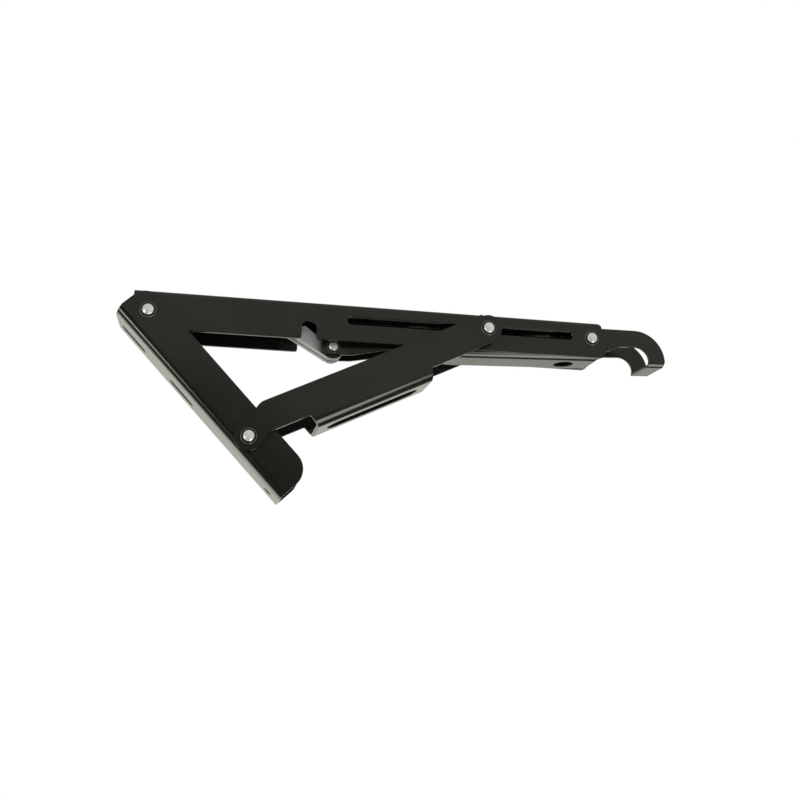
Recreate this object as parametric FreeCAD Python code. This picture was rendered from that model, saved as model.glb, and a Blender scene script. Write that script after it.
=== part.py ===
import FreeCAD, Part
import math
import os

# Drop leaf table bracket, in mm.
# Row frame: X out of the wall, Y across the bracket, Z up.
# Origin: on the wall face, midway between the two screw slots.
# The bracket stands half folded, with the arm hanging below level.

V = FreeCAD.Vector
ACROSS = V(0, 1, 0)

# Sheet and stacking across the bracket
SHEET = 2.0
LEVER_SHEET = 1.5
NOSE_SHEET = 1.2
SIDE_GAP = 0.3
LEVER_GAP = 0.4
RUN_GAP = 0.08
WALL_BEND = 5.4
ARM_BEND = 3.2
STRUT_BEND = 6.0
LEVER_BEND = 5.0
HOOK_BEND = 3.0
BEND_RUN = 3.5
PUNCH = 5.0
ARM_HALF = 16.5

# Wall plate
WALL_DEPTH = 25.5
WALL_TOP = 38.55
WALL_BOTTOM = -110.8
WALL_CORNER = 12.5
WALL_TOP_SLOPE = 1.8
WALL_TOP_FLAT = 9.0
WALL_SLOT_LENGTH = 22.0
WALL_SLOT_WIDTH = 7.0
WALL_SLOT_SPACING = 44.0
WALL_HOLE_R = 2.9
WALL_HOLE_Z = -101.8

# Pivots
HINGE_X = 15.5
HINGE_Z = 26.0
FOOT_X = 10.5
FOOT_Z = -71.0
STRUT_REACH = 166.0
ARM_DROP = 43.3
FOLDED_DROP = 86.6

# Top arm, measured along and above the hinge
ARM_LEFT = -9.0
ARM_TOP = 13.4
ARM_LOW = -10.6
ARM_END_LEAN = 3.6
ARM_END_R = 5.0
ARM_TOP_END_R = 2.5
SLOT_RISE = 3.0
SLOT_LEAD = 4.499
SLOT_SPARE = 3.4372
SLOT_R = 2.6
PIVOT_PAST_SLOT = 15.5
ARM_PAST_PIVOT = 10.4
HOLE_PAST_SLOT = 1.1
NOTCH_X = 96.6
NOTCH_HALF = 4.6
NOTCH_TOP = 1.2
NOTCH_LIP = 1.6
ARM_HOLE_R = 2.75
LEVER_PIVOT_Z = 2.5

# Strut, measured along and above the foot
STRUT_HEAD_RISE = 6.4
STRUT_TOP = 16.5
STRUT_WEB_Z = -10.5
STRUT_FOOT_LOW = -2.3
STRUT_HEAD_LOW = -3.3
STRUT_FOOT_R = 8.6
STRUT_HEAD_R = 8.7
STRUT_WEB_START = 41.5
STRUT_WEB_END = 118.5
STRUT_SLOT_START = 48.5
STRUT_SLOT_END = 111.5
STRUT_SLOT_WIDTH = 18.0

# Release lever, in the arm's frame when it lies along the arm
LEVER_DROP = 2.1
LEVER_LOW = -11.2
WEB_PAST_PIN = 59.501
WEB_PAST_PIVOT = 3.6
NARROW_RUN = 4.0
NARROW_BEFORE_PIN = 5.499
LEVER_NOSE_HALF = 8.4
NOSE_BEFORE_PIN = 15.199
LEVER_NOSE_Z = -6.2
LEVER_NOSE_R = 7.2
LEVER_RAIL_TOP = -0.4
TOOTH_RISE = 5.4
TOOTH_LENGTH = 4.0
TOOTH_RAMP = 7.0
JAW_RISE = 4.2
CATCH_GAP = 0.35
LEVER_TOP = 10.3
LEVER_TOP_FALL = 0.9
ACCESS_R = 6.6
HOOK_PAST_PIVOT = 30.6
HOOK_Z = -11.5
HOOK_INNER_R = 9.6
HOOK_TIP_Z = -15.1
HOOK_LEAN = 1.2
HOOK_NECK = 10.5

# Latch nose
NOSE_WRAP_R = 7.2
NOSE_RAMP = 32.0
NOSE_TOP = 7.0
NOSE_BACK = 16.8
NOSE_SIDE_GAP = 0.2

# Rivets, washers, spacers and spring
RIVET_R = 2.6
HEAD_R = 3.35
HEAD_HIGH = 1.7
WASHER_R = 4.85
WASHER_HIGH = 0.8
TAIL_R = 3.4
TAIL_HIGH = 1.5
TUBE_WALL = 1.4
NOSE_RIVET_R = 2.0
NOSE_HEAD_R = 2.85
NOSE_HEAD_HIGH = 1.3
NOSE_WASHER_R = 4.2
NOSE_WASHER_HIGH = 0.7
SLOT_WASHER_R = 5.2
SPRING_WIRE = 1.3
SPRING_TURNS = 4.5
SPRING_PITCH = 1.7
SPRING_COIL_R = 4.2
SPRING_LEG = 11.0

WALL_INNER = ARM_HALF + SIDE_GAP
WALL_HALF = WALL_INNER + SHEET
STRUT_INNER = WALL_HALF + SIDE_GAP
STRUT_HALF = STRUT_INNER + SHEET
ARM_INNER = ARM_HALF - SHEET
LEVER_HALF = ARM_INNER - LEVER_GAP
LEVER_INNER = LEVER_HALF - LEVER_SHEET
LEVER_RAIL_LOW = LEVER_LOW + LEVER_BEND
NOSE_HALF = LEVER_NOSE_HALF - LEVER_SHEET - NOSE_SIDE_GAP
PIN_R = SLOT_R - RUN_GAP
BORE_R = RIVET_R + RUN_GAP
HUGE = 400.0


def turn(x, z, degrees):
    """Turn a point of the side view, positive from X towards Z."""
    a = math.radians(degrees)
    return x * math.cos(a) - z * math.sin(a), x * math.sin(a) + z * math.cos(a)


def pin_along_arm(drop):
    """Distance of the slot pin from the hinge, along the arm, at a drop."""
    foot = turn(FOOT_X - HINGE_X, FOOT_Z - HINGE_Z, drop)
    rise = SLOT_RISE - foot[1]
    return foot[0] + math.sqrt(STRUT_REACH ** 2 - rise ** 2)


OPEN_PIN = pin_along_arm(0.0)
SLOT_START = OPEN_PIN - SLOT_LEAD
SLOT_END = pin_along_arm(FOLDED_DROP) + SLOT_SPARE
LEVER_PIVOT_X = SLOT_END + PIVOT_PAST_SLOT
ARM_RIGHT = LEVER_PIVOT_X + ARM_PAST_PIVOT
ARM_HOLES = (22.0, 60.0, SLOT_END + HOLE_PAST_SLOT)
LEVER_WEB_START = OPEN_PIN + WEB_PAST_PIN
LEVER_WEB_END = LEVER_PIVOT_X + WEB_PAST_PIVOT
LEVER_NARROW_START = LEVER_WEB_START - NARROW_RUN
LEVER_NARROW_END = OPEN_PIN - NARROW_BEFORE_PIN
LEVER_NOSE_X = OPEN_PIN - NOSE_BEFORE_PIN
HOOK_X = LEVER_PIVOT_X + HOOK_PAST_PIVOT


def rounded(points):
    """Closed side outline of corners (x, z, radius), as a face at y = 0."""
    count = len(points)
    starts = []
    ends = []
    mids = []
    for i in range(count):
        x, z, r = points[i]
        here = V(x, 0, z)
        back = V(points[i - 1][0], 0, points[i - 1][1]).sub(here)
        nxt = points[(i + 1) % count]
        ahead = V(nxt[0], 0, nxt[1]).sub(here)
        back.normalize()
        ahead.normalize()
        half = back.getAngle(ahead) / 2
        if r <= 0:
            starts.append(here)
            ends.append(here)
            mids.append(None)
            continue
        run = r / math.tan(half)
        middle = (back + ahead).normalize()
        centre = here + middle * (r / math.sin(half))
        starts.append(here + back * run)
        ends.append(here + ahead * run)
        mids.append(centre - middle * r)
    edges = []
    for i in range(count):
        if mids[i]:
            edges.append(Part.Arc(starts[i], mids[i], ends[i]).toShape())
        after = starts[(i + 1) % count]
        if ends[i].distanceToPoint(after) > 1e-6:
            edges.append(Part.makeLine(ends[i], after))
    return Part.Face(Part.Wire(edges))


def slab(face, half):
    """The side outline as a solid from -half to +half across."""
    moved = face.copy()
    moved.translate(V(0, -half, 0))
    return moved.extrude(V(0, 2 * half, 0))


def rod(x, z, r, low, high):
    """Round rod across the bracket at a point of the side view."""
    return Part.makeCylinder(r, high - low, V(x, low, z), ACROSS)


def both_sides(solid):
    """The solid and its mirror across the middle plane."""
    return [solid, solid.mirror(V(0, 0, 0), ACROSS)]


def channel(half, sheet, bend, web, open_edge, start, end, upright=False):
    """Bent U-channel: web at one height, flanges up to the open edge."""
    side = 1 if open_edge > web else -1

    def at(y, v):
        return V(v, y, start) if upright else V(start, y, v)

    def corner(sign, inset, radius):
        cy = sign * (half - bend)
        cv = web + side * bend
        a = math.radians(45)
        mid = at(cy + sign * radius * math.sin(a), cv - side * radius * math.cos(a))
        flange = at(sign * (half - inset), cv)
        flat = at(cy, web + side * inset)
        return flange, mid, flat

    lf, lm, lw = corner(-1, 0, bend)
    rf, rm, rw = corner(1, 0, bend)
    lfi, lmi, lwi = corner(-1, sheet, bend - sheet)
    rfi, rmi, rwi = corner(1, sheet, bend - sheet)
    tops = [at(-half, open_edge), at(half, open_edge)]
    tops_in = [at(-half + sheet, open_edge), at(half - sheet, open_edge)]
    edges = [
        Part.makeLine(tops[0], lf),
        Part.Arc(lf, lm, lw).toShape(),
        Part.makeLine(lw, rw),
        Part.Arc(rw, rm, rf).toShape(),
        Part.makeLine(rf, tops[1]),
        Part.makeLine(tops[1], tops_in[1]),
        Part.makeLine(tops_in[1], rfi),
        Part.Arc(rfi, rmi, rwi).toShape(),
        Part.makeLine(rwi, lwi),
        Part.Arc(lwi, lmi, lfi).toShape(),
        Part.makeLine(lfi, tops_in[0]),
        Part.makeLine(tops_in[0], tops[0]),
    ]
    along = V(0, 0, end - start) if upright else V(end - start, 0, 0)
    return Part.Face(Part.Wire(edges)).extrude(along)


def open_channel(half, sheet, bend, web, open_edge, start, end, narrow=None):
    """Channel from start to end, with flat flanges that go on past both ends.

    narrow gives the flanges before the start another plan: it holds where they
    begin to close in, where they run straight again, and their half width there.
    """
    body = channel(half, sheet, bend, web, open_edge, start, end)
    before = [(start, half), (-HUGE, half)]
    if narrow:
        before = [(start, half), (narrow[0], half), (narrow[1], narrow[2]), (-HUGE, narrow[2])]
    for path in (before, [(end, half), (HUGE, half)]):
        outside = [V(x, y, web) for x, y in path]
        inside = [V(x, y - sheet, web) for x, y in reversed(path)]
        plan = Part.Face(Part.makePolygon(outside + inside + outside[:1]))
        for side in both_sides(plan.extrude(V(0, 0, open_edge - web))):
            body = body.fuse(side)
    return body.removeSplitter()


def domed_head(x, z, y, r, high, side):
    """Low domed rivet head that stands out from y on one side."""
    rim = 0.35 * high
    crown = high - rim
    ball = (r * r + crown * crown) / (2 * crown)
    disc = Part.makeCylinder(r, high, V(0, 0, 0), V(0, 0, 1))
    dome = Part.makeSphere(ball, V(0, 0, high - ball))
    head = disc.common(dome)
    turned = FreeCAD.Rotation(V(0, 0, 1), V(0, side, 0))
    head.Placement = FreeCAD.Placement(V(x, y, z), turned)
    return head


def through_rivet(x, z, r, head_r, head_high, face):
    """Rivet across the bracket with a domed head outside each face."""
    body = rod(x, z, r, -face, face)
    for side in (1, -1):
        body = body.fuse(domed_head(x, z, side * face, head_r, head_high, side))
    return body.removeSplitter()


def ring(x, z, outer, inner, low, high):
    """Washer or spacer tube across the bracket."""
    return rod(x, z, outer, low, high).cut(rod(x, z, inner, low, high))


def broken_edge(solid, size):
    """Chamfer the round edges at the largest radius of a ring."""
    rims = []
    for edge in solid.Edges:
        if hasattr(edge.Curve, "Radius"):
            rims.append(edge.Curve.Radius)
    widest = max(rims)
    chosen = []
    for edge in solid.Edges:
        if hasattr(edge.Curve, "Radius") and abs(edge.Curve.Radius - widest) < 1e-6:
            chosen.append(edge)
    return solid.makeChamfer(size, chosen)


def wall_plate():
    """Wall channel with its slots, screw hole and pivot holes."""
    blank = channel(WALL_HALF, SHEET, WALL_BEND, 0.0, WALL_DEPTH, WALL_BOTTOM, WALL_TOP, True)
    side = rounded([
        (-PUNCH, WALL_BOTTOM, 0),
        (WALL_DEPTH, WALL_BOTTOM, WALL_CORNER),
        (WALL_DEPTH, WALL_TOP, WALL_DEPTH - HINGE_X),
        (HINGE_X - WALL_TOP_FLAT, WALL_TOP, 3.5),
        (0.0, WALL_TOP - WALL_TOP_SLOPE, 0),
        (-PUNCH, WALL_TOP - WALL_TOP_SLOPE, 0),
    ])
    body = blank.common(slab(side, HUGE))
    for x, z in ((HINGE_X, HINGE_Z), (FOOT_X, FOOT_Z)):
        body = body.cut(rod(x, z, RIVET_R, -HUGE, HUGE))
    for side_sign in (1, -1):
        middle = side_sign * WALL_SLOT_SPACING / 2
        body = body.cut(web_slot(middle, WALL_SLOT_LENGTH, WALL_SLOT_WIDTH))
    hole = Part.makeCylinder(WALL_HOLE_R, 2 * PUNCH, V(-PUNCH, 0, WALL_HOLE_Z), V(1, 0, 0))
    return body.cut(hole)


def web_slot(z, length, width):
    """Round-ended upright slot through the wall plate's web."""
    reach = length / 2 - width / 2
    tool = Part.makeBox(2 * PUNCH, width, 2 * reach, V(-PUNCH, -width / 2, z - reach))
    for end in (z - reach, z + reach):
        tool = tool.fuse(Part.makeCylinder(width / 2, 2 * PUNCH, V(-PUNCH, 0, end), V(1, 0, 0)))
    return tool.removeSplitter()


def top_arm():
    """Arm channel, in the arm's own frame with the hinge at the origin."""
    blank = channel(ARM_HALF, SHEET, ARM_BEND, ARM_TOP, ARM_LOW,
                    ARM_LEFT - PUNCH, ARM_RIGHT + PUNCH)
    side = rounded([
        (ARM_LEFT, ARM_TOP + 1.0, 0),
        (ARM_LEFT, ARM_LOW, 0),
        (NOTCH_X - NOTCH_HALF, ARM_LOW, NOTCH_LIP),
        (NOTCH_X - NOTCH_HALF, NOTCH_TOP, NOTCH_HALF - 0.01),
        (NOTCH_X + NOTCH_HALF, NOTCH_TOP, NOTCH_HALF - 0.01),
        (NOTCH_X + NOTCH_HALF, ARM_LOW, NOTCH_LIP),
        (ARM_RIGHT, ARM_LOW, ARM_END_R),
        (ARM_RIGHT - ARM_END_LEAN, ARM_TOP - 2.0, ARM_TOP_END_R),
        (ARM_RIGHT - ARM_END_LEAN - 3.0, ARM_TOP + 1.0, 0),
    ])
    heel = rod(0, 0, -ARM_LOW, -HUGE, HUGE)
    heel = heel.fuse(Part.makeBox(HUGE, 2 * HUGE, 2 * HUGE, V(0, -HUGE, -HUGE)))
    heel = heel.fuse(Part.makeBox(2 * HUGE, 2 * HUGE, HUGE, V(-HUGE, -HUGE, 0)))
    body = blank.common(slab(side, HUGE)).common(heel)
    slot = Part.makeBox(SLOT_END - SLOT_START, 2 * HUGE, 2 * SLOT_R,
                        V(SLOT_START, -HUGE, SLOT_RISE - SLOT_R))
    for x in (SLOT_START, SLOT_END):
        slot = slot.fuse(rod(x, SLOT_RISE, SLOT_R, -HUGE, HUGE))
    body = body.cut(slot.removeSplitter())
    body = body.cut(rod(0, 0, BORE_R, -HUGE, HUGE))
    body = body.cut(rod(LEVER_PIVOT_X, LEVER_PIVOT_Z, RIVET_R, -HUGE, HUGE))
    for x in ARM_HOLES:
        drill = Part.makeCylinder(ARM_HOLE_R, 2 * PUNCH, V(x, 0, ARM_TOP - PUNCH), V(0, 0, 1))
        body = body.cut(drill)
    return body


def strut_plate():
    """Strut channel, in its own frame with the foot at the origin."""
    head_x = math.sqrt(STRUT_REACH ** 2 - STRUT_HEAD_RISE ** 2)
    blank = open_channel(STRUT_HALF, SHEET, STRUT_BEND, STRUT_WEB_Z, STRUT_TOP + PUNCH,
                         STRUT_WEB_START - BEND_RUN, STRUT_WEB_END + BEND_RUN)
    side = rounded([
        (0.0, -STRUT_FOOT_R, 0),
        (2.0, -STRUT_FOOT_R, 4.0),
        (12.5, STRUT_FOOT_LOW, 9.0),
        (STRUT_WEB_START - 2.6, STRUT_FOOT_LOW, 1.2),
        (STRUT_WEB_START, STRUT_WEB_Z - 1.0, 0),
        (STRUT_WEB_END, STRUT_WEB_Z - 1.0, 0),
        (STRUT_WEB_END + 2.6, STRUT_HEAD_LOW, 1.2),
        (head_x + 2.0, STRUT_HEAD_LOW, 0),
        (head_x + 2.0, STRUT_TOP - 0.3, 3.0),
        (15.0, STRUT_TOP, 8.0),
        (9.0, 13.3, 2.0),
        (-4.2, 7.5, 0),
        (0.0, 0.0, 0),
    ])
    outline = slab(side, HUGE)
    outline = outline.fuse(rod(0, 0, STRUT_FOOT_R, -HUGE, HUGE))
    head = rod(head_x, STRUT_HEAD_RISE, STRUT_HEAD_R, -HUGE, HUGE)
    cap = Part.makeBox(HUGE, 2 * HUGE, 2 * HUGE, V(head_x, -HUGE, -HUGE))
    outline = outline.cut(cap).fuse(head).removeSplitter()
    body = blank.common(outline)
    for x, z in ((0, 0), (head_x, STRUT_HEAD_RISE)):
        body = body.cut(rod(x, z, BORE_R if x == 0 else RIVET_R, -HUGE, HUGE))
    half = STRUT_SLOT_WIDTH / 2
    low = STRUT_WEB_Z - PUNCH
    opening = Part.makeBox(STRUT_SLOT_END - STRUT_SLOT_START - 2 * half, 2 * half, 2 * PUNCH,
                           V(STRUT_SLOT_START + half, -half, low))
    for x in (STRUT_SLOT_START + half, STRUT_SLOT_END - half):
        opening = opening.fuse(Part.makeCylinder(half, 2 * PUNCH, V(x, 0, low), V(0, 0, 1)))
    return body.cut(opening.removeSplitter())


def release_lever():
    """Lever channel in the arm's frame, lying along the arm."""
    floor = SLOT_RISE - PIN_R - CATCH_GAP
    tooth = OPEN_PIN + PIN_R + CATCH_GAP
    jaw = OPEN_PIN - PIN_R - CATCH_GAP
    nx, nz, nr = LEVER_NOSE_X, LEVER_NOSE_Z, LEVER_NOSE_R
    top_end = LEVER_TOP - LEVER_TOP_FALL
    blank = open_channel(LEVER_HALF, LEVER_SHEET, LEVER_BEND, LEVER_LOW, LEVER_TOP + PUNCH,
                         LEVER_WEB_START - BEND_RUN, HOOK_X - HOOK_NECK,
                         (LEVER_NARROW_START, LEVER_NARROW_END, LEVER_NOSE_HALF))
    side = rounded([
        (nx - nr, nz, 0),
        (nx - nr + 0.6, nz + nr, 4.0),
        (nx + 1.0, nz + nr + 1.0, 3.0),
        (nx + 4.0, JAW_RISE, 1.2),
        (jaw, JAW_RISE, 0.8),
        (jaw, floor, 0.8),
        (tooth, floor, 0.8),
        (tooth, TOOTH_RISE, 0.6),
        (tooth + TOOTH_LENGTH, TOOTH_RISE, 2.0),
        (tooth + TOOTH_LENGTH + TOOTH_RAMP, LEVER_RAIL_TOP, 6.0),
        (SLOT_END + SLOT_R + 0.5, LEVER_RAIL_TOP, 2.0),
        (LEVER_PIVOT_X - 4.5, LEVER_TOP, 4.0),
        (HOOK_X, top_end, 0),
        (HOOK_X, HOOK_Z + HOOK_INNER_R, 0),
        (HOOK_X - HOOK_NECK, HOOK_Z + HOOK_INNER_R - 0.2, 7.0),
        (LEVER_WEB_END + 3.0, LEVER_LOW + 4.0, 3.0),
        (LEVER_WEB_END, LEVER_LOW - 1.0, 0),
        (LEVER_WEB_START, LEVER_LOW - 1.0, 0),
        (LEVER_WEB_START - 3.0, LEVER_RAIL_LOW, 2.5),
        (tooth + TOOTH_LENGTH + 20.0, LEVER_RAIL_LOW, 20.0),
        (nx + 10.0, nz - nr + 1.8, 9.0),
        (nx + 1.0, nz - nr, 0),
        (nx, nz, 0),
    ])
    outline = slab(side, HUGE).fuse(rod(nx, nz, nr, -HUGE, HUGE)).removeSplitter()
    body = blank.common(outline)
    access = Part.makeCylinder(ACCESS_R, 2 * PUNCH, V(ARM_HOLES[2], 0, LEVER_LOW - PUNCH),
                               V(0, 0, 1))
    body = body.cut(access)
    body = body.fuse(finger_hook(top_end)).removeSplitter()
    body = body.cut(rod(LEVER_PIVOT_X, LEVER_PIVOT_Z, BORE_R, -HUGE, HUGE))
    return body.cut(rod(nx, nz, NOSE_RIVET_R, -HUGE, HUGE))


def finger_hook(top_end):
    """J-shaped end of the lever: two curved plates joined by a flat tip."""
    outer_r = top_end - HOOK_Z
    blank = channel(LEVER_HALF, LEVER_SHEET, HOOK_BEND, HOOK_TIP_Z, top_end + PUNCH,
                    HOOK_X - outer_r, HOOK_X + 2 * outer_r)
    ring_face = rod(HOOK_X, HOOK_Z, outer_r, -HUGE, HUGE)
    ring_face = ring_face.cut(rod(HOOK_X, HOOK_Z, HOOK_INNER_R, -HUGE, HUGE))
    quarter = Part.makeBox(HUGE, 2 * HUGE, HUGE, V(HOOK_X, -HUGE, HOOK_Z))
    curve = ring_face.common(quarter)
    stem = rounded([
        (HOOK_X + HOOK_INNER_R, HOOK_Z, 0),
        (HOOK_X + HOOK_INNER_R - HOOK_LEAN, HOOK_TIP_Z, 0),
        (HOOK_X + outer_r - HOOK_LEAN, HOOK_TIP_Z, 0),
        (HOOK_X + outer_r, HOOK_Z, 0),
    ])
    outline = curve.fuse(slab(stem, HUGE)).removeSplitter()
    return blank.common(outline)


def latch_nose():
    """Folded nose: a ramp that wraps under the nose rivet, with two cheeks."""
    cx, cz = LEVER_NOSE_X, LEVER_NOSE_Z
    a = math.radians(NOSE_RAMP)
    up = (-math.cos(a), math.sin(a))
    out = (-math.sin(a), -math.cos(a))
    touch = (cx + NOSE_WRAP_R * out[0], cz + NOSE_WRAP_R * out[1])
    tip_x = touch[0] - (NOSE_TOP - touch[1]) / math.tan(a)
    side = rounded([
        (cx, cz, 0),
        (touch[0], touch[1], 0),
        (tip_x, NOSE_TOP, 1.5),
        (cx - NOSE_BACK, NOSE_TOP, 1.5),
        (cx - NOSE_BACK + 6.5, NOSE_TOP - 5.5, 3.0),
        (cx - 1.0, cz + 5.0, 2.0),
        (cx + 4.6, cz + 3.6, 2.0),
        (cx + 6.0, cz - 4.0, 0),
    ])
    outline = slab(side, NOSE_HALF)
    sector = rod(cx, cz, NOSE_WRAP_R, -NOSE_HALF, NOSE_HALF)
    keep = rounded([
        (cx, cz, 0),
        (cx + 2 * NOSE_WRAP_R * out[0], cz + 2 * NOSE_WRAP_R * out[1], 0),
        (cx + 0.7 * NOSE_WRAP_R, cz - 2.8 * NOSE_WRAP_R, 0),
        (cx + 1.3 * NOSE_WRAP_R, cz - 1.5 * NOSE_WRAP_R, 0),
    ])
    outline = outline.fuse(sector.common(slab(keep, NOSE_HALF))).removeSplitter()
    inner_half = NOSE_HALF - NOSE_SHEET
    hollow = rod(cx, cz, NOSE_WRAP_R - NOSE_SHEET, -inner_half, inner_half)
    step = NOSE_WRAP_R - NOSE_SHEET
    start = (cx + step * out[0], cz + step * out[1])
    above = rounded([
        (start[0], start[1], 0),
        (start[0] + HUGE * up[0], start[1] + HUGE * up[1], 0),
        (start[0] + HUGE * up[0], HUGE, 0),
        (cx + HUGE, HUGE, 0),
        (cx + HUGE, cz, 0),
        (cx, cz, 0),
    ])
    hollow = hollow.fuse(slab(above, inner_half))
    body = outline.cut(hollow)
    return body.cut(rod(cx, cz, NOSE_RIVET_R, -HUGE, HUGE))


def torsion_spring():
    """Coil round the lever rivet with one leg on the arm and one on the lever."""
    x, z = LEVER_PIVOT_X, LEVER_PIVOT_Z
    turns = SPRING_TURNS * SPRING_PITCH
    helix = Part.makeHelix(SPRING_PITCH, turns, SPRING_COIL_R)
    section = Part.Wire(Part.makeCircle(SPRING_WIRE / 2, V(SPRING_COIL_R, 0, 0), V(0, 1, 0)))
    coil = Part.Wire(helix).makePipeShell([section], True, True)
    first = Part.makeCylinder(SPRING_WIRE / 2, SPRING_LEG, V(SPRING_COIL_R, 0, 0), V(0, -1, 0))
    last = Part.makeCylinder(SPRING_WIRE / 2, SPRING_LEG, V(-SPRING_COIL_R, 0, turns), V(0, -1, 0))
    body = coil.fuse(first).fuse(last)
    body.translate(V(0, 0, -turns / 2))
    body.rotate(V(0, 0, 0), V(1, 0, 0), 90)
    body.rotate(V(0, 0, 0), V(0, 1, 0), 90)
    body.translate(V(x, 0, z))
    return body


def place(shapes, frame):
    """Put solids of one frame into the row frame and return a compound."""
    placed = []
    for shape in shapes:
        copy = shape.copy()
        if frame == "lever":
            pivot = V(LEVER_PIVOT_X, 0, LEVER_PIVOT_Z)
            copy.rotate(pivot, ACROSS, -LEVER_DROP)
        if frame in ("lever", "arm"):
            copy.rotate(V(0, 0, 0), ACROSS, ARM_DROP)
            copy.translate(V(HINGE_X, 0, HINGE_Z))
        if frame == "strut":
            copy.rotate(V(0, 0, 0), ACROSS, -STRUT_TURN)
            copy.translate(V(FOOT_X, 0, FOOT_Z))
        placed.append(copy)
    return placed


REST_PIN = pin_along_arm(ARM_DROP)
PIN_ROW = turn(REST_PIN, SLOT_RISE, -ARM_DROP)
PIN_X = HINGE_X + PIN_ROW[0]
PIN_Z = HINGE_Z + PIN_ROW[1]
LINE_ANGLE = math.degrees(math.atan2(PIN_Z - FOOT_Z, PIN_X - FOOT_X))
STRUT_TURN = LINE_ANGLE - math.degrees(math.asin(STRUT_HEAD_RISE / STRUT_REACH))

hinge_face = WALL_HALF + WASHER_HIGH
foot_washer = STRUT_HALF + SIDE_GAP
foot_face = foot_washer + WASHER_HIGH + SIDE_GAP
head_face = STRUT_HALF + WASHER_HIGH
lever_face = ARM_HALF + WASHER_HIGH
nose_face = LEVER_NOSE_HALF + NOSE_WASHER_HIGH
tube_r = RIVET_R + RUN_GAP + TUBE_WALL
spring_half = (SPRING_TURNS * SPRING_PITCH + SPRING_WIRE) / 2

foot_rivet = rod(FOOT_X, FOOT_Z, RIVET_R, WALL_INNER, foot_face)
foot_rivet = foot_rivet.fuse(domed_head(FOOT_X, FOOT_Z, foot_face, HEAD_R, HEAD_HIGH, 1))
foot_rivet = foot_rivet.fuse(domed_head(FOOT_X, FOOT_Z, WALL_INNER, TAIL_R, TAIL_HIGH, -1))
head_rivet = rod(PIN_X, PIN_Z, RIVET_R, STRUT_INNER, head_face)
head_rivet = head_rivet.fuse(domed_head(PIN_X, PIN_Z, head_face, HEAD_R, HEAD_HIGH, 1))

nodes = {
    "wall_plate": ("row", [wall_plate()]),
    "top_arm": ("arm", [top_arm()]),
    "strut": ("strut", [strut_plate()]),
    "release_lever": ("lever", [release_lever()]),
    "latch_nose": ("lever", [latch_nose()]),
    "hinge_rivet": ("row", [through_rivet(HINGE_X, HINGE_Z, RIVET_R, HEAD_R, HEAD_HIGH, hinge_face)]),
    "hinge_washers": ("row", both_sides(broken_edge(
        ring(HINGE_X, HINGE_Z, WASHER_R, RIVET_R, WALL_HALF, hinge_face), 0.3))),
    "hinge_spacer": ("row", [ring(HINGE_X, HINGE_Z, tube_r, BORE_R,
                                  SIDE_GAP - ARM_INNER, ARM_INNER - SIDE_GAP)]),
    "foot_rivets": ("row", both_sides(foot_rivet.removeSplitter())),
    "foot_washers": ("row", both_sides(broken_edge(
        ring(FOOT_X, FOOT_Z, WASHER_R, BORE_R, foot_washer, foot_washer + WASHER_HIGH), 0.3))),
    "strut_head_rivets": ("row", both_sides(head_rivet.removeSplitter())),
    "strut_head_washers": ("row", both_sides(broken_edge(
        ring(PIN_X, PIN_Z, WASHER_R, RIVET_R, STRUT_HALF, head_face), 0.3))),
    "slot_washers": ("row", both_sides(broken_edge(
        ring(PIN_X, PIN_Z, SLOT_WASHER_R, BORE_R,
             ARM_HALF + SIDE_GAP, STRUT_INNER - SIDE_GAP), 0.3))),
    "slot_pin": ("row", [rod(PIN_X, PIN_Z, PIN_R, -ARM_HALF, ARM_HALF)]),
    "lever_rivet": ("arm", [through_rivet(LEVER_PIVOT_X, LEVER_PIVOT_Z, RIVET_R,
                                          HEAD_R, HEAD_HIGH, lever_face)]),
    "lever_washers": ("arm", both_sides(broken_edge(
        ring(LEVER_PIVOT_X, LEVER_PIVOT_Z, WASHER_R, RIVET_R, ARM_HALF, lever_face), 0.3))),
    "lever_spacers": ("arm", both_sides(
        ring(LEVER_PIVOT_X, LEVER_PIVOT_Z, tube_r, RIVET_R,
             spring_half + SIDE_GAP, LEVER_INNER - SIDE_GAP))),
    "lever_spring": ("lever", [torsion_spring()]),
    "nose_rivet": ("lever", [through_rivet(LEVER_NOSE_X, LEVER_NOSE_Z, NOSE_RIVET_R,
                                           NOSE_HEAD_R, NOSE_HEAD_HIGH, nose_face)]),
    "nose_washers": ("lever", both_sides(broken_edge(
        ring(LEVER_NOSE_X, LEVER_NOSE_Z, NOSE_WASHER_R, NOSE_RIVET_R,
             LEVER_NOSE_HALF, nose_face), 0.25))),
    "nose_spacer": ("lever", [ring(LEVER_NOSE_X, LEVER_NOSE_Z, NOSE_RIVET_R + TUBE_WALL,
                                   NOSE_RIVET_R, NOSE_SHEET - NOSE_HALF, NOSE_HALF - NOSE_SHEET)]),
}

os.makedirs("parts", exist_ok=True)
for node, (frame, solids) in nodes.items():
    placed = place(solids, frame)
    shape = placed[0] if len(placed) == 1 else Part.makeCompound(placed)
    shape.exportStep("parts/%s.step" % node)
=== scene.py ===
import math

import bpy
from mathutils import Matrix, Vector


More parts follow.
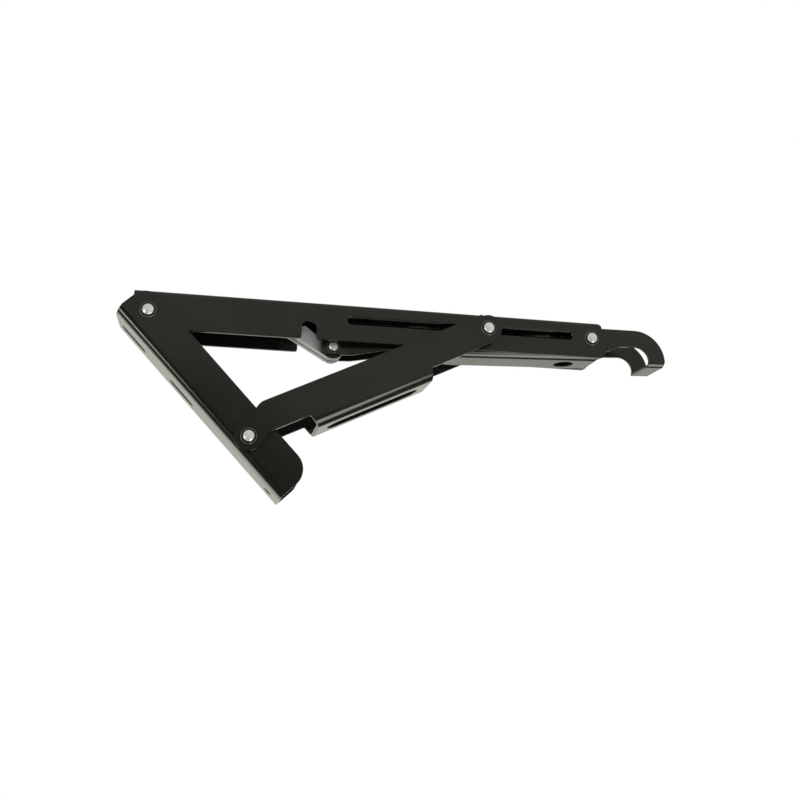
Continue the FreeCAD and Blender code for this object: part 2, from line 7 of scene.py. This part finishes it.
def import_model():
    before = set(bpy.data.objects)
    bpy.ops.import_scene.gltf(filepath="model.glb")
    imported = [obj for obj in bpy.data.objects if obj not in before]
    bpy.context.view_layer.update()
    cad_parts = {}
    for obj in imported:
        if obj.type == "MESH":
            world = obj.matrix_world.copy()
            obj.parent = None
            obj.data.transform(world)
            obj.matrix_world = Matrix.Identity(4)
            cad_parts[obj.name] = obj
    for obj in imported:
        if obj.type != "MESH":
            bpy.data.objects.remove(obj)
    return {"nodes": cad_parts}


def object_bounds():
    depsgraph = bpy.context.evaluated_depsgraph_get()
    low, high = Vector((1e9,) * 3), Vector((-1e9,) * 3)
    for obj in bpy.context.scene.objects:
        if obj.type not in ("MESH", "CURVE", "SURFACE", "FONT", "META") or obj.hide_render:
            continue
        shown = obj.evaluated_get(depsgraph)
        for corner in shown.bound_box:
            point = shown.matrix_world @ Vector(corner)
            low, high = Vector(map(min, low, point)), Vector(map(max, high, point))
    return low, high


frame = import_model()
cad_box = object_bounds()
nodes = frame["nodes"]


# Materials: lengths in metres, scales of patterns per metre

MM = 0.001
BROAD_CHANGE = 28.0
GLOSS_CHANGE = 420.0
ORANGE_PEEL = 900.0
TURNED_MARKS = 700.0
FINE_SCRATCHES = 1600.0
MIDDLE_BAND = (0.3, 0.7)
BUMP_DEPTH = 0.04 * MM
EDGE_SAMPLES = 6
SHEET_EDGE = 0.6 * MM
WASHER_EDGE = 0.3 * MM
METAL_EDGE = 0.2 * MM
PAINT_PEEL = 0.06
WASHER_PEEL = 0.08
METAL_BUMP = 0.12
COAT_ROUGHNESS = 0.12

# Painted shade line along the fold in the nose's web: its place, half width and fade
FOLD_SHADE_PLACE = 0.6 * MM
FOLD_SHADE_HALF = 1.2 * MM
FOLD_SHADE_FADE = 0.7 * MM
ALONG_NOSE = (0.738, 0.0, -0.675)
# Painted shade on the nose's cheek: where it starts and where it is full, nearer its rivet
NOSE_SHADE_START = 91.5 * MM
NOSE_SHADE_END = 100.0 * MM


def new_tree(name):
    """A material with an empty node tree, its output and its shader."""
    material = bpy.data.materials.new(name)
    material.use_nodes = True
    tree = material.node_tree
    tree.nodes.clear()
    out = tree.nodes.new("ShaderNodeOutputMaterial")
    shader = tree.nodes.new("ShaderNodeBsdfPrincipled")
    tree.links.new(shader.outputs["BSDF"], out.inputs["Surface"])
    return material, tree, shader


def object_place(tree):
    """Object coordinates in metres, so that patterns keep their real size."""
    return tree.nodes.new("ShaderNodeTexCoord").outputs["Object"]


def noise(tree, place, scale, detail=3.0, rough=0.55):
    """Noise from 0 to 1."""
    node = tree.nodes.new("ShaderNodeTexNoise")
    node.inputs["Scale"].default_value = scale
    node.inputs["Detail"].default_value = detail
    node.inputs["Roughness"].default_value = rough
    tree.links.new(place, node.inputs["Vector"])
    return node.outputs["Fac"]


def spread(tree, value, low, high, to_low, to_high):
    """Map a value from one range to another, clamped at its ends."""
    node = tree.nodes.new("ShaderNodeMapRange")
    node.inputs["From Min"].default_value = low
    node.inputs["From Max"].default_value = high
    node.inputs["To Min"].default_value = to_low
    node.inputs["To Max"].default_value = to_high
    tree.links.new(value, node.inputs["Value"])
    return node.outputs["Result"]


def combine(tree, kind, first, second):
    """The product (MULTIPLY) or the greater (MAXIMUM) of two values."""
    node = tree.nodes.new("ShaderNodeMath")
    node.operation = kind
    tree.links.new(first, node.inputs[0])
    tree.links.new(second, node.inputs[1])
    return node.outputs["Value"]


def ramp(tree, value, dark, light):
    """Colour between two others, over the middle band of a value."""
    node = tree.nodes.new("ShaderNodeValToRGB")
    for element, position, colour in zip(node.color_ramp.elements, MIDDLE_BAND, (dark, light)):
        element.position = position
        element.color = (*colour, 1.0)
    tree.links.new(value, node.inputs["Fac"])
    return node.outputs["Color"]


def rounded_bump(tree, shader, height, strength, edge):
    """Bump over softened edges, so that cut edges catch the light as paint does."""
    bevel = tree.nodes.new("ShaderNodeBevel")
    bevel.samples = EDGE_SAMPLES
    bevel.inputs["Radius"].default_value = edge
    bump = tree.nodes.new("ShaderNodeBump")
    bump.inputs["Strength"].default_value = strength
    bump.inputs["Distance"].default_value = BUMP_DEPTH
    tree.links.new(height, bump.inputs["Height"])
    tree.links.new(bevel.outputs["Normal"], bump.inputs["Normal"])
    tree.links.new(bump.outputs["Normal"], shader.inputs["Normal"])


def black_paint(name, dark, light, rough, peel, edge):
    """Stoved black paint: fine orange peel, a faint change of gloss and colour."""
    material, tree, shader = new_tree(name)
    place = object_place(tree)
    broad = noise(tree, place, BROAD_CHANGE)
    fine = noise(tree, place, GLOSS_CHANGE, 4.0)
    tree.links.new(ramp(tree, broad, dark, light), shader.inputs["Base Color"])
    tree.links.new(spread(tree, fine, *MIDDLE_BAND, rough - 0.03, rough + 0.04), shader.inputs["Roughness"])
    shader.inputs["IOR"].default_value = 1.5
    rounded_bump(tree, shader, noise(tree, place, ORANGE_PEEL, 2.0), peel, edge)
    return material


def bright_metal(name, dark, light, rough, metal=1.0, coat=0.0):
    """Plated steel with faint turned marks."""
    material, tree, shader = new_tree(name)
    place = object_place(tree)
    fine = noise(tree, place, TURNED_MARKS, 4.0, 0.6)
    tree.links.new(ramp(tree, fine, dark, light), shader.inputs["Base Color"])
    tree.links.new(spread(tree, fine, *MIDDLE_BAND, rough - 0.05, rough + 0.07), shader.inputs["Roughness"])
    shader.inputs["Metallic"].default_value = metal
    shader.inputs["Coat Weight"].default_value = coat
    shader.inputs["Coat Roughness"].default_value = COAT_ROUGHNESS
    rounded_bump(tree, shader, noise(tree, place, FINE_SCRATCHES), METAL_BUMP, METAL_EDGE)
    return material


def across(tree, vector, along):
    """How far a vector reaches along a direction."""
    dot = tree.nodes.new("ShaderNodeVectorMath")
    dot.operation = "DOT_PRODUCT"
    dot.inputs[1].default_value = along
    tree.links.new(vector, dot.inputs[0])
    return dot.outputs["Value"]


def apart(tree, value, middle):
    """Distance of a value from a middle value, on either side."""
    shift = tree.nodes.new("ShaderNodeMath")
    shift.operation = "SUBTRACT"
    shift.inputs[1].default_value = middle
    tree.links.new(value, shift.inputs[0])
    size = tree.nodes.new("ShaderNodeMath")
    size.operation = "ABSOLUTE"
    tree.links.new(shift.outputs["Value"], size.inputs[0])
    return size.outputs["Value"]


def overlay(tree, amount, colour):
    """Mix a colour over the material's base colour."""
    socket = next(n for n in tree.nodes if n.type == "BSDF_PRINCIPLED").inputs["Base Color"]
    mix = tree.nodes.new("ShaderNodeMix")
    mix.data_type = "RGBA"
    below, above = (i for i in mix.inputs if i.type == "RGBA")
    tree.links.new(amount, mix.inputs["Factor"])
    tree.links.new(socket.links[0].from_socket, below)
    above.default_value = (*colour, 1.0)
    tree.links.new(next(o for o in mix.outputs if o.type == "RGBA"), socket)


def sideways_facing(tree):
    """How far a surface faces sideways: 1 on flanges and rivet crowns, 0 on edges and webs."""
    normal = tree.nodes.new("ShaderNodeTexCoord").outputs["Normal"]
    return apart(tree, across(tree, normal, (0, 1, 0)), 0.0)


def rivet_metal(name):
    """Rivet heads, with painted shade darkening the outer edge of each head."""
    material = bright_metal(name, (0.58, 0.58, 0.57), (0.72, 0.72, 0.71), 0.36, 0.4, 0.6)
    tree = material.node_tree
    # painted shade: the outer edge of each head, where its surface turns away, is darkened
    painted_rim_shade = spread(tree, sideways_facing(tree), 0.78, 0.84, 1.0, 0.0)
    overlay(tree, painted_rim_shade, (0.03, 0.03, 0.03))
    return material


def nose_metal(name):
    """Nose: worn grey plate, with a painted shade line along the fold in its web and painted shade
    darkening its cheek nearer its rivet.
    """
    material = bright_metal(name, (0.52, 0.52, 0.51), (0.66, 0.66, 0.65), 0.34, 0.15)
    tree = material.node_tree
    place = object_place(tree)
    # painted shade: the cheek darkens nearer its rivet
    cheek = spread(tree, sideways_facing(tree), 0.5, 0.8, 0.0, 1.0)
    painted_shade_near_rivet = spread(tree, across(tree, place, ALONG_NOSE), NOSE_SHADE_START, NOSE_SHADE_END, 0.0, 1.0)
    overlay(tree, combine(tree, "MULTIPLY", cheek, painted_shade_near_rivet), (0.012, 0.012, 0.012))
    # painted shade: a dark line along the fold in the web
    web = spread(tree, sideways_facing(tree), 0.3, 0.6, 1.0, 0.0)
    off_fold_shade = apart(tree, across(tree, place, (0, 1, 0)), FOLD_SHADE_PLACE)
    painted_fold_shade = spread(tree, off_fold_shade, FOLD_SHADE_HALF, FOLD_SHADE_HALF + FOLD_SHADE_FADE, 1.0, 0.0)
    overlay(tree, combine(tree, "MULTIPLY", web, painted_fold_shade), (0.006, 0.006, 0.006))
    return material


def washer_metal(name):
    """Black washers, with a painted highlight on their chamfered edges."""
    material = black_paint(name, (0.005, 0.005, 0.005), (0.008, 0.008, 0.008), 0.24,
                           WASHER_PEEL, WASHER_EDGE)
    tree = material.node_tree
    # painted highlight: the chamfered edges are made light grey
    painted_edge_highlight = spread(tree, sideways_facing(tree), 0.75, 0.95, 1.0, 0.0)
    overlay(tree, painted_edge_highlight, (0.13, 0.13, 0.125))
    return material


sheet_paint = black_paint("sheet_paint", (0.0085, 0.0087, 0.007), (0.0125, 0.0127, 0.0103), 0.15,
                          PAINT_PEEL, SHEET_EDGE)
washer_paint = washer_metal("washer_paint")
nose_plate = nose_metal("nose_plate")
rivet_steel = rivet_metal("rivet_steel")
spacer_steel = bright_metal("spacer_steel", (0.3, 0.3, 0.3), (0.42, 0.42, 0.42), 0.34)
spring_steel = bright_metal("spring_steel", (0.2, 0.2, 0.2), (0.32, 0.32, 0.32), 0.3)

FINISH = {
    sheet_paint: ["wall_plate", "top_arm", "strut", "release_lever"],
    nose_plate: ["latch_nose"],
    washer_paint: ["hinge_washers", "foot_washers", "strut_head_washers", "slot_washers",
                   "lever_washers", "nose_washers"],
    rivet_steel: ["hinge_rivet", "foot_rivets", "strut_head_rivets", "slot_pin", "lever_rivet",
                  "nose_rivet"],
    spacer_steel: ["hinge_spacer", "lever_spacers", "nose_spacer"],
    spring_steel: ["lever_spring"],
}
for material, names in FINISH.items():
    for name in names:
        mesh = nodes[name].data
        mesh.materials.clear()
        mesh.materials.append(material)


# Camera at the photograph's angle

VIEW = Matrix(((0.72469, 0.62888, -0.28166),
               (-0.18875, -0.21196, -0.95888),
               (-0.66272, 0.74805, -0.03491)))
EYE = Vector((-0.0691, -0.5792, -0.1337))
FOCAL_PIXELS = 950.0
PICTURE_PIXELS = 800.0
SENSOR = 36.0


def camera():
    """Camera whose angle, distance and lens match the photograph."""
    data = bpy.data.cameras.new("camera")
    data.sensor_width = SENSOR
    data.lens = SENSOR * FOCAL_PIXELS / PICTURE_PIXELS
    data.clip_start = 0.01
    data.clip_end = 20.0
    eye = bpy.data.objects.new("camera", data)
    bpy.context.scene.collection.objects.link(eye)
    place = VIEW.to_4x4()
    place.translation = EYE
    eye.matrix_world = place
    bpy.context.scene.camera = eye


# Studio: white to the camera, even grey for scattered light, and patches of light in reflections.
# A patch is an angle off the line to the camera, an angle round that line from picture-right, and
# the angles from its middle where it starts and ends fading, all in degrees.

WHITE = (1.0, 1.0, 1.0, 1.0)
EVEN_GREY = (0.6, 0.6, 0.6, 1.0)
SHINE = (0.98, 1.0, 0.87, 1.0)
ROOM = (90, 50, 62, 82)
ROOM_LIGHT = 0.45
ROOM_DARK = 0.06
CAMERA_SIDE = (0, 0, 25.5, 29)
BACKDROP = (180, 0, 35, 65)
BACKDROP_LIGHT = 0.85
STRIP = [(44, -38), (54, -46), (63, -56), (72, -66), (82, -74)]
SMALL_BOX = (5, 12)
STRIP_LIGHT = 6.0
SOFTBOXES = [((*place, *SMALL_BOX), STRIP_LIGHT) for place in STRIP]
SOFTBOXES += [((34, 179, *SMALL_BOX), 9.0), ((103, -160, 8, 42), 4.6)]
FLOOR_DROP = 0.35
FLOOR_HALF = 6.0
FLOOR_LIGHT = 1.08
FLOOR_SHADOW = 0.15
FLOOR_GREY = 0.92
FLOOR_ROUGHNESS = 0.9


def direction_at(off_axis, around):
    """Direction at an angle off the line to the camera, and round it from picture-right."""
    a = math.radians(off_axis)
    b = math.radians(around)
    return VIEW @ Vector((math.sin(a) * math.cos(b), math.sin(a) * math.sin(b), math.cos(a)))


def patch_light(tree, direction, patch, high, low=0.0):
    """Smooth patch of light: high within the inner angle, low outside the outer one."""
    off_axis, around, inner, outer = patch
    fade = tree.nodes.new("ShaderNodeMapRange")
    fade.interpolation_type = "SMOOTHSTEP"
    fade.inputs["From Min"].default_value = math.cos(math.radians(outer))
    fade.inputs["From Max"].default_value = math.cos(math.radians(inner))
    fade.inputs["To Min"].default_value = low
    fade.inputs["To Max"].default_value = high
    tree.links.new(across(tree, direction, direction_at(off_axis, around)), fade.inputs["Value"])
    return fade.outputs["Result"]


def studio(tree, direction):
    """Grey room above, dark round the camera and below, white behind, and softboxes."""
    room = patch_light(tree, direction, ROOM, ROOM_LIGHT, ROOM_DARK)
    clear = patch_light(tree, direction, CAMERA_SIDE, 0.0, 1.0)
    light = combine(tree, "MULTIPLY", room, clear)
    for patch, strength in [(BACKDROP, BACKDROP_LIGHT), *SOFTBOXES]:
        light = combine(tree, "MAXIMUM", light, patch_light(tree, direction, patch, strength))
    return light


def split_rays(tree, plain, glossy, seen, out):
    """One shader for reflections, one for the camera and a plain one for all other light."""
    path = tree.nodes.new("ShaderNodeLightPath")
    for ray, shader in (("Is Glossy Ray", glossy), ("Is Camera Ray", seen)):
        mix = tree.nodes.new("ShaderNodeMixShader")
        tree.links.new(path.outputs[ray], mix.inputs["Fac"])
        tree.links.new(plain, mix.inputs[1])
        tree.links.new(shader, mix.inputs[2])
        plain = mix.outputs["Shader"]
    tree.links.new(plain, out)


def world():
    """Surroundings of the studio."""
    setting = bpy.data.worlds.new("studio")
    bpy.context.scene.world = setting
    setting.use_nodes = True
    tree = setting.node_tree
    tree.nodes.clear()
    out = tree.nodes.new("ShaderNodeOutputWorld")
    white, grey, shine = (tree.nodes.new("ShaderNodeBackground") for _ in range(3))
    white.inputs["Color"].default_value = WHITE
    grey.inputs["Color"].default_value = EVEN_GREY
    shine.inputs["Color"].default_value = SHINE
    direction = tree.nodes.new("ShaderNodeTexCoord").outputs["Generated"]
    tree.links.new(studio(tree, direction), shine.inputs["Strength"])
    split_rays(tree, grey.outputs["Background"], shine.outputs["Background"],
               white.outputs["Background"], out.inputs["Surface"])


def floor():
    """White floor: the camera sees it white with a little shadow, and reflections pass through it."""
    low = cad_box[0][2] - FLOOR_DROP
    half = FLOOR_HALF
    corners = [(-half, -half, low), (half, -half, low), (half, half, low), (-half, half, low)]
    mesh = bpy.data.meshes.new("floor")
    mesh.from_pydata(corners, [], [(0, 1, 2, 3)])
    obj = bpy.data.objects.new("floor", mesh)
    bpy.context.scene.collection.objects.link(obj)
    material, tree, shader = new_tree("floor_white")
    shader.inputs["Base Color"].default_value = (FLOOR_GREY, FLOOR_GREY, FLOOR_GREY, 1.0)
    shader.inputs["Roughness"].default_value = FLOOR_ROUGHNESS
    white = tree.nodes.new("ShaderNodeEmission")
    white.inputs["Color"].default_value = WHITE
    white.inputs["Strength"].default_value = FLOOR_LIGHT
    seen = tree.nodes.new("ShaderNodeMixShader")
    seen.inputs["Fac"].default_value = FLOOR_SHADOW
    tree.links.new(white.outputs["Emission"], seen.inputs[1])
    tree.links.new(shader.outputs["BSDF"], seen.inputs[2])
    clear = tree.nodes.new("ShaderNodeBsdfTransparent")
    out = next(n for n in tree.nodes if n.type == "OUTPUT_MATERIAL")
    split_rays(tree, shader.outputs["BSDF"], clear.outputs["BSDF"],
               seen.outputs["Shader"], out.inputs["Surface"])
    mesh.materials.append(material)


def lamp(name, place, aim, side, power):
    """Square soft light, unseen in reflections."""
    data = bpy.data.lights.new(name, "AREA")
    data.shape = "RECTANGLE"
    data.size = data.size_y = side
    data.energy = power
    obj = bpy.data.objects.new(name, data)
    bpy.context.scene.collection.objects.link(obj)
    obj.location = place
    obj.rotation_euler = (Vector(aim) - Vector(place)).to_track_quat("-Z", "Y").to_euler()
    obj.visible_glossy = False


bpy.context.scene.view_settings.view_transform = "Standard"
camera()
world()
floor()
middle = tuple((a + b) / 2 for a, b in zip(*cad_box))
lamp("key", (-0.5, -1.2, 0.9), middle, side=0.6, power=9.0)
lamp("fill", (1.2, -0.9, -0.1), middle, side=0.8, power=5.0)
